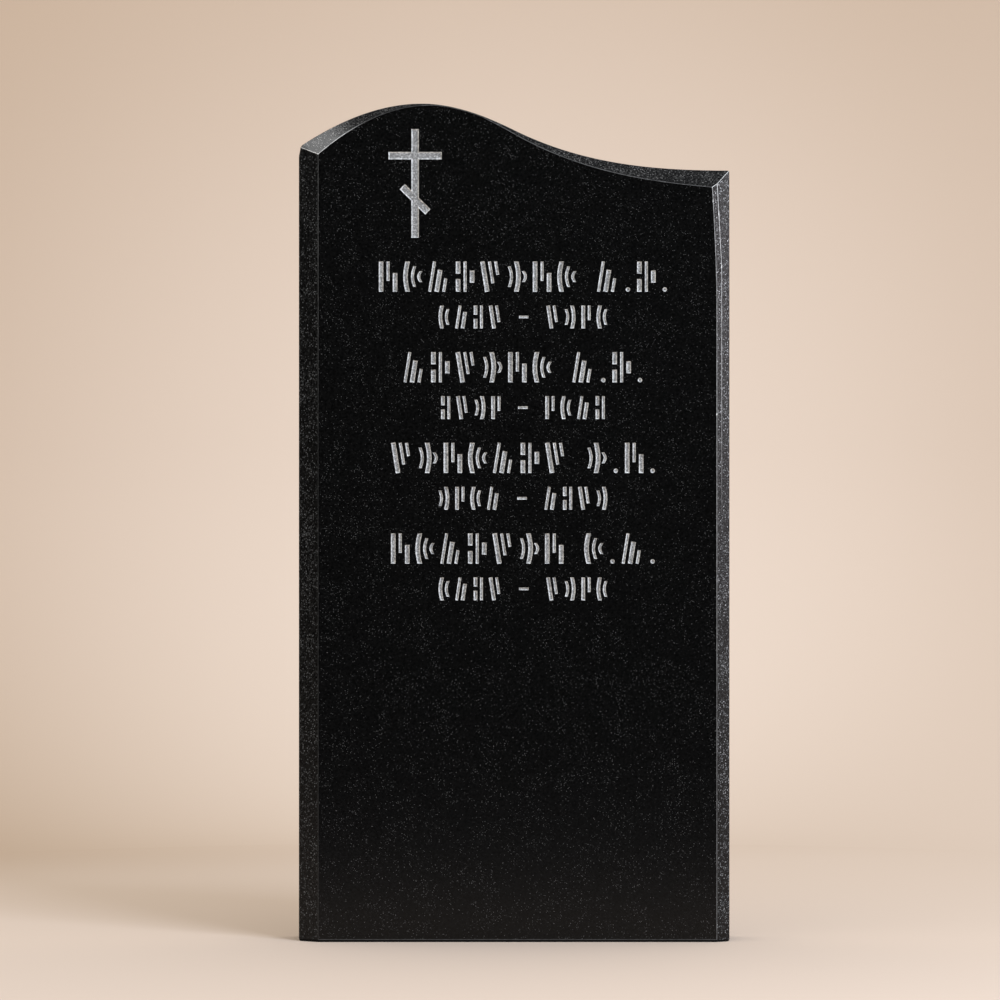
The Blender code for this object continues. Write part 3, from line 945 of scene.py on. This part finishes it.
cross_x = CREST_X - CROSS_LEFT_OF_CREST
cross_top = CREST_HEIGHT - CROSS_BELOW_CREST
cutters = []
for name, drop, length, turn in (
    ("upright_cutter", CROSS_HEIGHT / 2, CROSS_HEIGHT, 0.0),
    ("crossbar_cutter", CROSSBAR_DROP, CROSSBAR_LENGTH, math.pi / 2),
    ("footbar_cutter", FOOTBAR_DROP, FOOTBAR_LENGTH, FOOTBAR_TURN),
):
    middle = Vector((cross_x, cross_top - drop))
    cutters.append(make_cutter(name, [(STROKE, middle, CROSS_BAR_WIDTH, length, turn, 0.0)]))

# Rows of carved strokes fill the face under the cross, long rows and short rows in turn.
# Each row is made of small groups of upright strokes with dots or a dash between them.
ROWS_BELOW_CREST = 0.1830
ROWS_RIGHT_OF_MIDDLE = 0.0102
LONG_ROW_GROUP_COUNTS = (8, 6, 7, 7)
SHORT_ROW_GROUP_COUNT = 4
LONG_ROW_WORD_GAP = 0.0240
DOT_RADIUS = 0.0026
DOT_GAP = 0.0080
DASH_LENGTH = 0.0110
DASH_THICKNESS = 0.0030
DASH_GAP = 0.0205
GAP_IN_PAIR = 0.0160
GAP_BETWEEN_PAIRS = 0.0275
LONG_ROW_SIZE = {
    "columns": 3,
    "height": 0.0350,
    "thick": 0.0052,
    "thin": 0.0034,
    "gap": 0.0038,
    "group_gap": 0.0068,
    "lean": 0.0056,
    "bow": 0.0026,
}
SHORT_ROW_SIZE = {
    "columns": 2,
    "height": 0.0265,
    "thick": 0.0042,
    "thin": 0.0032,
    "gap": 0.0032,
    "group_gap": 0.0068,
    "lean": 0.0040,
    "bow": 0.0020,
}

# Groups of strokes: lean, bow, then columns of strokes as shares of the row's height
STROKE_GROUPS = (
    (0, 0, (("thick", (0.0, 1.0)), ("thin", (0.36, 1.0)), ("thick", (0.0, 0.62)))),
    (0, -1, (("thick", (0.0, 1.0)), ("thin", (0.16, 0.84)), ("thin", (0.32, 0.68)))),
    (1, 0, (("thin", (0.0, 1.0)), ("thick", (0.0, 0.72)), ("thin", (0.0, 0.44)))),
    (0, 0, (("thick", (0.0, 0.42), (0.60, 1.0)), ("thin", (0.0, 1.0)), ("thick", (0.30, 0.70)))),
    (-1, 0, (("thick", (0.0, 1.0)), ("thin", (0.28, 1.0)), ("thin", (0.56, 1.0)))),
    (0, 1, (("thin", (0.16, 0.84)), ("thick", (0.0, 1.0)), ("thin", (0.32, 0.68)))),
)


def add_groups(cuts, count, first, left, base, size):
    """A run of groups side by side; returns the place of its right edge."""
    for place in range(count):
        lean_share, bow_share, columns = STROKE_GROUPS[(first + place) % len(STROKE_GROUPS)]
        lean = size["lean"] * lean_share
        bow = size["bow"] * bow_share
        x = left + max(0.0, -lean) + max(0.0, -bow)
        for weight, *spans in columns[: size["columns"]]:
            thickness = size[weight]
            for low, high in spans:
                foot = Vector((x + thickness / 2 + lean * low, base + size["height"] * low))
                head = Vector((x + thickness / 2 + lean * high, base + size["height"] * high))
                reach = head - foot
                turn = math.atan2(reach.x, reach.y)
                cuts.append((STROKE, (foot + head) / 2, thickness, reach.length, turn, bow))
            x += thickness + size["gap"]
        left = x - size["gap"] + max(0.0, lean) + max(0.0, bow) + size["group_gap"]
    return left - size["group_gap"]


def add_long_row(cuts, row, base, size):
    """A long row: a run of groups, then two single groups with a dot after each."""
    count = LONG_ROW_GROUP_COUNTS[row]
    right = add_groups(cuts, count, 2 * row, 0.0, base, size) + LONG_ROW_WORD_GAP
    for single in range(2):
        right = add_groups(cuts, 1, 2 * row + count + single, right, base, size) + DOT_GAP
        middle = Vector((right + DOT_RADIUS, base + DOT_RADIUS))
        cuts.append((DOT, middle, 2 * DOT_RADIUS, 2 * DOT_RADIUS, 0.0, 0.0))
        right += 2 * DOT_RADIUS + DOT_GAP
    return right - DOT_GAP


def add_short_row(cuts, row, base, size):
    """A short row: two runs of groups with a dash between them."""
    right = add_groups(cuts, SHORT_ROW_GROUP_COUNT, 2 * row + 1, 0.0, base, size) + DASH_GAP
    middle = Vector((right + DASH_LENGTH / 2, base + size["height"] / 2))
    cuts.append((STROKE, middle, DASH_THICKNESS, DASH_LENGTH, math.pi / 2, 0.0))
    right += DASH_LENGTH + DASH_GAP
    return add_groups(cuts, SHORT_ROW_GROUP_COUNT, 2 * row + 4, right, base, size)


def row_cuts():
    """The cuts of all rows, each row centred on the same upright line."""
    cuts = []
    top = CREST_HEIGHT - ROWS_BELOW_CREST
    for row in range(len(LONG_ROW_GROUP_COUNTS)):
        for add_row, size, gap_below in (
            (add_long_row, LONG_ROW_SIZE, GAP_IN_PAIR),
            (add_short_row, SHORT_ROW_SIZE, GAP_BETWEEN_PAIRS),
        ):
            base = top - size["height"]
            in_row = []
            length = add_row(in_row, row, base, size)
            shift = Vector((ROWS_RIGHT_OF_MIDDLE - length / 2, 0))
            cuts += [(shape, middle + shift, *rest) for shape, middle, *rest in in_row]
            top = base - gap_below
    return cuts


cutters.append(make_cutter("row_cutter", row_cuts()))
for cutter in cutters:
    cut = slab.modifiers.new(cutter.name, "BOOLEAN")
    cut.operation = "DIFFERENCE"
    cut.solver = "EXACT"
    cut.material_mode = "TRANSFER"
    cut.object = cutter
applied(slab)
for cutter in cutters:
    bpy.data.objects.remove(cutter, do_unlink=True)
slab.data.shade_smooth()
slab.data.set_sharp_from_angle(angle=math.radians(9))
slab.data.update()

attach(slab, "root")
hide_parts("headstone")

# The studio has a pale floor that curves up into a wall all round.
# The wall shows only from inside, so it never hides the stone, and the stone doesn't mirror it.
STAGE_RADIUS = 2.15
STAGE_COVE = 0.60
STAGE_HEIGHT = 4.0
STAGE_SIDES = 96
STAGE_COVE_STEPS = 16
STAGE_MIDDLE = 0.002
STAGE_FLOOR_RADII = (STAGE_MIDDLE, 0.5, 1.0)

# Paint: a painted pool of light behind the stone with its two tones, the floor's tone and where it
# fades into the wall, and the darker tone the floor shows only in the stone's reflections, a
# painted darkening of what the stone mirrors
GLOW_MIDDLE = (0.08, 2.0, 0.45)
GLOW_REACH = (0.20, 1.45)
GLOW_TONE = (0.68, 0.572, 0.492, 1)
DIM_TONE = (0.464, 0.352, 0.264, 1)
FLOOR_TONE = (0.62, 0.515, 0.44, 1)
# The fade is slanted, so the floor tone reaches further back on the right and the dimmer wall tone
# comes nearer on the left: painted light and shade in the cove.
FLOOR_FADE = (1.0, 1.9)
FLOOR_FADE_SLANT = 0.45
MIRRORED_TONE = (0.0, 0.03, 0.06, 1)
MIRRORED_DEPTHS = (-0.1, -1.3)
MIRRORED_SHARES = (0.1, 0.78)


def backdrop_paint():
    """Pale matt paint with a painted pool of light behind the stone, dimmer towards the sides, and
    painted light and shade where the floor meets the wall.
    """
    material = bpy.data.materials.new("studio_paint")
    material.use_nodes = True
    tree = material.node_tree
    shader = tree.nodes["Principled BSDF"]
    shader.inputs["Roughness"].default_value = 0.95
    shader.inputs["Specular IOR Level"].default_value = 0.0
    place = put(tree, "ShaderNodeTexCoord").outputs["Object"]
    ends = {0: place, 1: GLOW_MIDDLE}
    away = put(tree, "ShaderNodeVectorMath", ends, operation="DISTANCE").outputs["Value"]
    wall = mixed(tree, between(tree, away, *GLOW_REACH), GLOW_TONE, DIM_TONE)
    along = put(tree, "ShaderNodeSeparateXYZ", {0: place}).outputs
    depth = along["Y"]
    slant = math_of(tree, "MULTIPLY", along["X"], FLOOR_FADE_SLANT)
    far = math_of(tree, "SUBTRACT", depth, slant)
    color = mixed(tree, between(tree, far, *FLOOR_FADE), FLOOR_TONE, wall)
    mirrored = put(tree, "ShaderNodeLightPath").outputs["Is Glossy Ray"]
    dimming = between(tree, depth, *MIRRORED_DEPTHS, *MIRRORED_SHARES)
    dimmed = math_of(tree, "MULTIPLY", mirrored, dimming)
    color = mixed(tree, dimmed, color, MIRRORED_TONE)
    tree.links.new(color, shader.inputs["Base Color"])
    outside = put(tree, "ShaderNodeNewGeometry").outputs["Backfacing"]
    clear = put(tree, "ShaderNodeBsdfTransparent").outputs[0]
    shown = put(tree, "ShaderNodeMixShader", {0: outside, 1: shader.outputs[0], 2: clear})
    tree.links.new(shown.outputs[0], tree.nodes["Material Output"].inputs["Surface"])
    return material


def make_stage(name, profile, paint):
    """A round of the stage from a profile of (radius, height), seen from inside."""
    bm = bmesh.new()
    rings = []
    turns = [2 * math.pi * side / STAGE_SIDES for side in range(STAGE_SIDES)]
    for radius, height in profile:
        points = [(radius * math.sin(turn), radius * math.cos(turn), height) for turn in turns]
        rings.append([bm.verts.new(point) for point in points])
    if profile[0][0] == STAGE_MIDDLE:
        bm.faces.new(rings[0])
    for ring, following in zip(rings, rings[1:]):
        for i in range(STAGE_SIDES):
            j = (i + 1) % STAGE_SIDES
            bm.faces.new((ring[i], ring[j], following[j], following[i]))
    mesh = bpy.data.meshes.new(name)
    bm.to_mesh(mesh)
    bm.free()
    mesh.shade_smooth()
    mesh.materials.append(paint)
    stage = bpy.data.objects.new(name, mesh)
    bpy.context.scene.collection.objects.link(stage)
    return stage


paint = backdrop_paint()
floor_edge = STAGE_RADIUS - STAGE_COVE
floor_radii = (*STAGE_FLOOR_RADII, floor_edge)
make_stage("studio_floor", [(radius, 0.0) for radius in floor_radii], paint)
cove = [(floor_edge, 0.0)]
for step in range(1, STAGE_COVE_STEPS + 1):
    turn = math.pi / 2 * step / STAGE_COVE_STEPS
    cove.append((floor_edge + STAGE_COVE * math.sin(turn), STAGE_COVE * (1 - math.cos(turn))))
wall = make_stage("studio_wall", cove + [(STAGE_RADIUS, STAGE_HEIGHT)], paint)
wall.visible_glossy = False
wall.visible_diffuse = False
wall.visible_shadow = False

# Soft studio light: a large key lamp to the front right, and still air of even light around.
# Cards that only the stone mirrors light up the bevels.
world = bpy.data.worlds.new("studio_air")
bpy.context.scene.world = world
world.use_nodes = True
background = world.node_tree.nodes["Background"]
background.inputs["Color"].default_value = (1.0, 0.945, 0.855, 1)
background.inputs["Strength"].default_value = 0.99
world.cycles_visibility.glossy = False


def add_lamp(name, place, target, width, height, power, seen_by, color=(1.0, 1.0, 1.0)):
    """A rectangular soft lamp, turned to a target and seen by diffuse or by glossy rays."""
    data = bpy.data.lights.new(name, "AREA")
    data.shape = "RECTANGLE"
    data.color = color
    data.size = width
    data.size_y = height
    data.energy = power
    lamp = bpy.data.objects.new(name, data)
    lamp.location = place
    lamp.rotation_euler = (Vector(target) - Vector(place)).to_track_quat("-Z", "Y").to_euler()
    lamp.visible_camera = False
    lamp.visible_diffuse = seen_by == "diffuse"
    lamp.visible_glossy = seen_by == "glossy"
    bpy.context.scene.collection.objects.link(lamp)


add_lamp(
    "key_lamp",
    place=(2.55, -3.45, 2.6),
    target=(0, 0, 0.2),
    width=2.3,
    height=1.9,
    power=216,
    seen_by="diffuse",
    color=(0.72, 0.83, 1.0),
)
add_lamp(
    "right_card",
    place=(1.75, -0.58, 0.97),
    target=(0.25, -0.03, 0.82),
    width=0.8,
    height=0.95,
    power=20.0,
    seen_by="glossy",
    color=(1.0, 0.955, 1.0),
)
add_lamp(
    "low_right_card",
    place=(1.75, -0.58, 0.08),
    target=(0.25, -0.03, 0.20),
    width=0.8,
    height=0.80,
    power=2.6,
    seen_by="glossy",
    color=(1.0, 0.93, 0.88),
)
add_lamp(
    "upper_left_card",
    place=(-1.352, -0.32, 2.038),
    target=(-0.24, -0.03, 0.93),
    width=0.75,
    height=0.7,
    power=7.8,
    seen_by="glossy",
)

# The camera looks straight at the front face, from the height of the slab's middle.
CAMERA_DISTANCE = 5.5
VIEW_WIDTH = 1.1584
VIEW_CENTRE_X = -0.01636
VIEW_CENTRE_Z = 0.5122
SENSOR_WIDTH = 36.0

camera_data = bpy.data.cameras.new("camera")
camera_data.sensor_width = SENSOR_WIDTH
camera_data.lens = SENSOR_WIDTH * CAMERA_DISTANCE / VIEW_WIDTH
camera = bpy.data.objects.new("camera", camera_data)
camera.location = (VIEW_CENTRE_X, FRONT - CAMERA_DISTANCE, VIEW_CENTRE_Z)
camera.rotation_euler = (math.pi / 2, 0, 0)
bpy.context.scene.collection.objects.link(camera)
bpy.context.scene.camera = camera
bpy.context.scene.view_settings.view_transform = "Standard"
